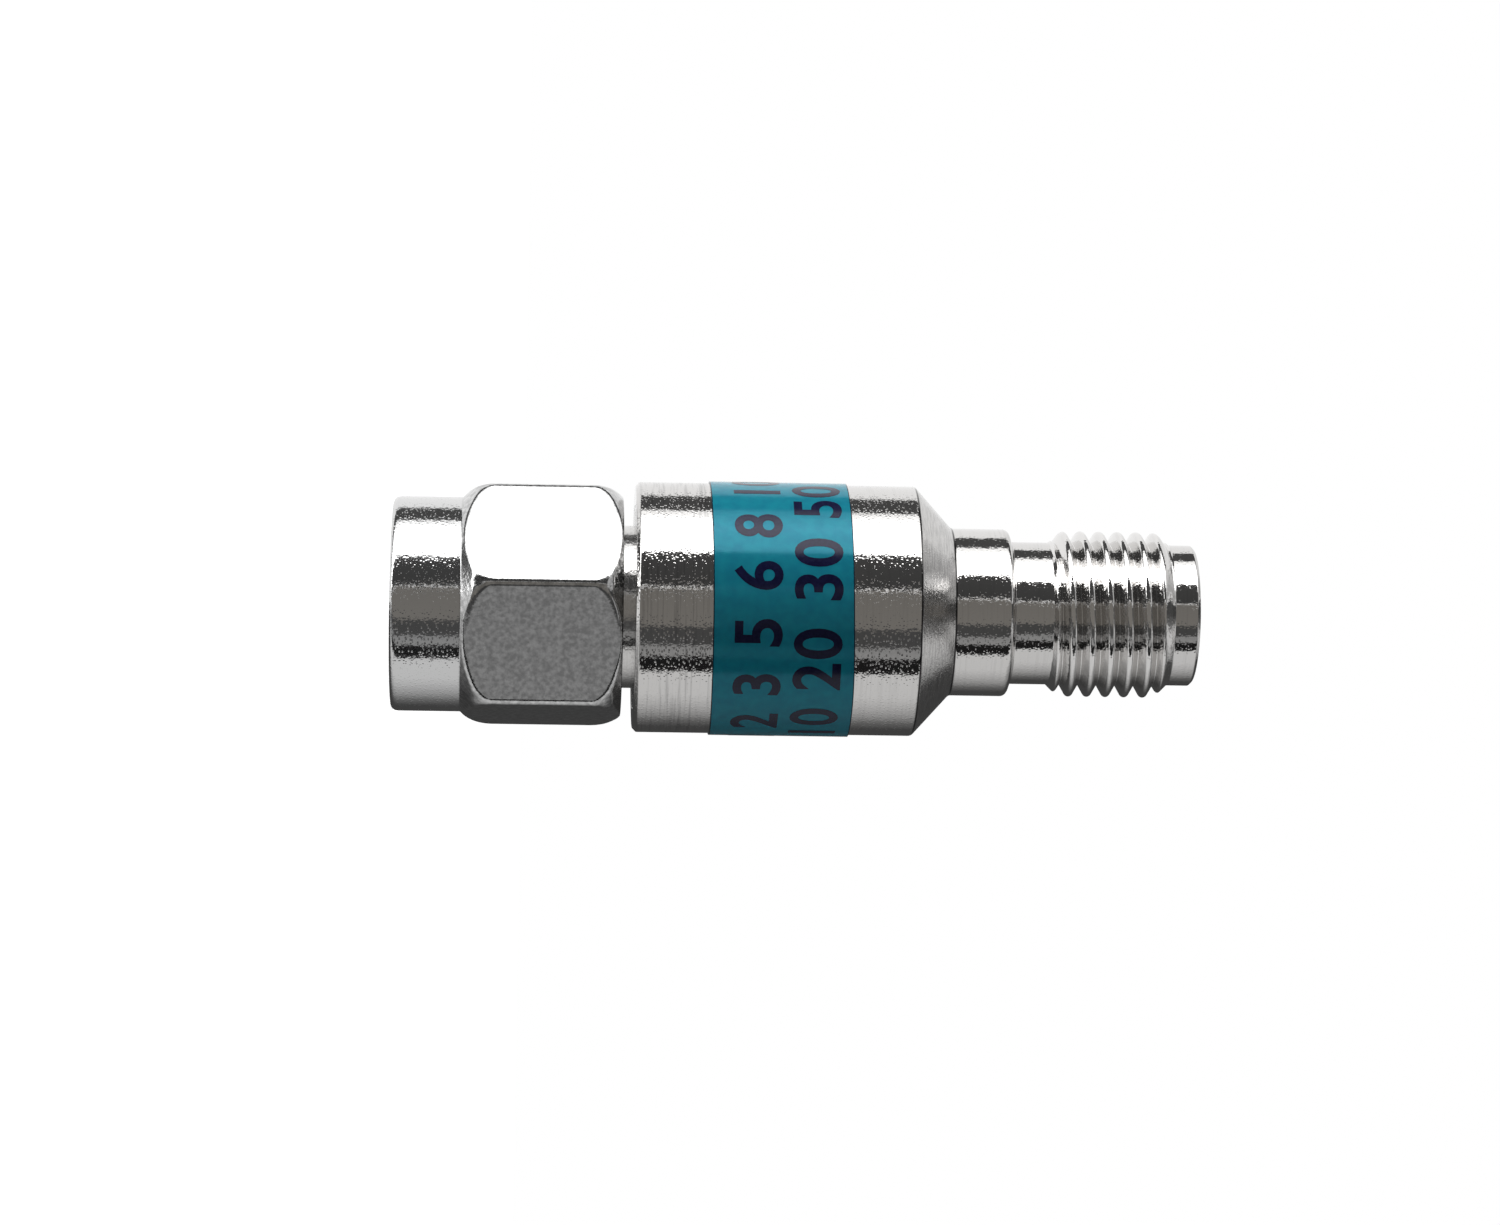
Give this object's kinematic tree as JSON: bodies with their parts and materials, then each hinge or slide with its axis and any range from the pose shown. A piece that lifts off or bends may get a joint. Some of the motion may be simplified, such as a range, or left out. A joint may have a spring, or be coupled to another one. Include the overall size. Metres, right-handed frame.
{
  "type": "rf attenuator",
  "caption": "Straight coaxial attenuator with a hexagon coupling nut round its plug, a round barrel with a label band, and a threaded jack.",
  "frame": {"origin": "centre of the flat ring at the front of the coupling nut, on the part's axis", "axes": "+Z along the axis from the plug to the jack, +Y away from the side that the picture shows"},
  "size_m": [0.0096, 0.0096, 0.0302],
  "materials": {
    "housing_steel": "turned, bright",
    "nut_steel": "turned, bright, tumbled flats",
    "spring_steel": "plain",
    "gasket_rubber": "matte",
    "white_insulator": "waxy",
    "gold_plate": "gold plated",
    "alumina": "fired",
    "silver_film": "fired film",
    "resistor_glaze": "glazed",
    "clamp_brass": "turned",
    "label_film": "semi-gloss"
  },
  "bodies": {
    "body": {"sealing_gasket": "gasket_rubber", "plug_shell": "housing_steel", "plug_insulator": "white_insulator", "plug_pin": "gold_plate", "main_housing": "housing_steel", "jack_insulator": "white_insulator", "jack_socket": "gold_plate", "attenuator_card": "alumina", "conductor_film": "silver_film", "resistor_film": "resistor_glaze", "film_side_clamp": "clamp_brass", "bare_side_clamp": "clamp_brass", "label_band": "label_film"},
    "ring": {"retaining_ring": "spring_steel"},
    "nut": {"coupling_nut": "nut_steel"}
  },
  "joints": [
    {"name": "nut_float", "type": "slide", "parent": "body", "child": "ring", "axis": [0, 0, -1], "range_m": [0, 0.0003]},
    {"name": "nut_spin", "type": "hinge", "parent": "ring", "child": "nut", "pos_m": [0, 0, 0.0043], "axis": [0, 0, 1], "continuous": true}
  ]
}
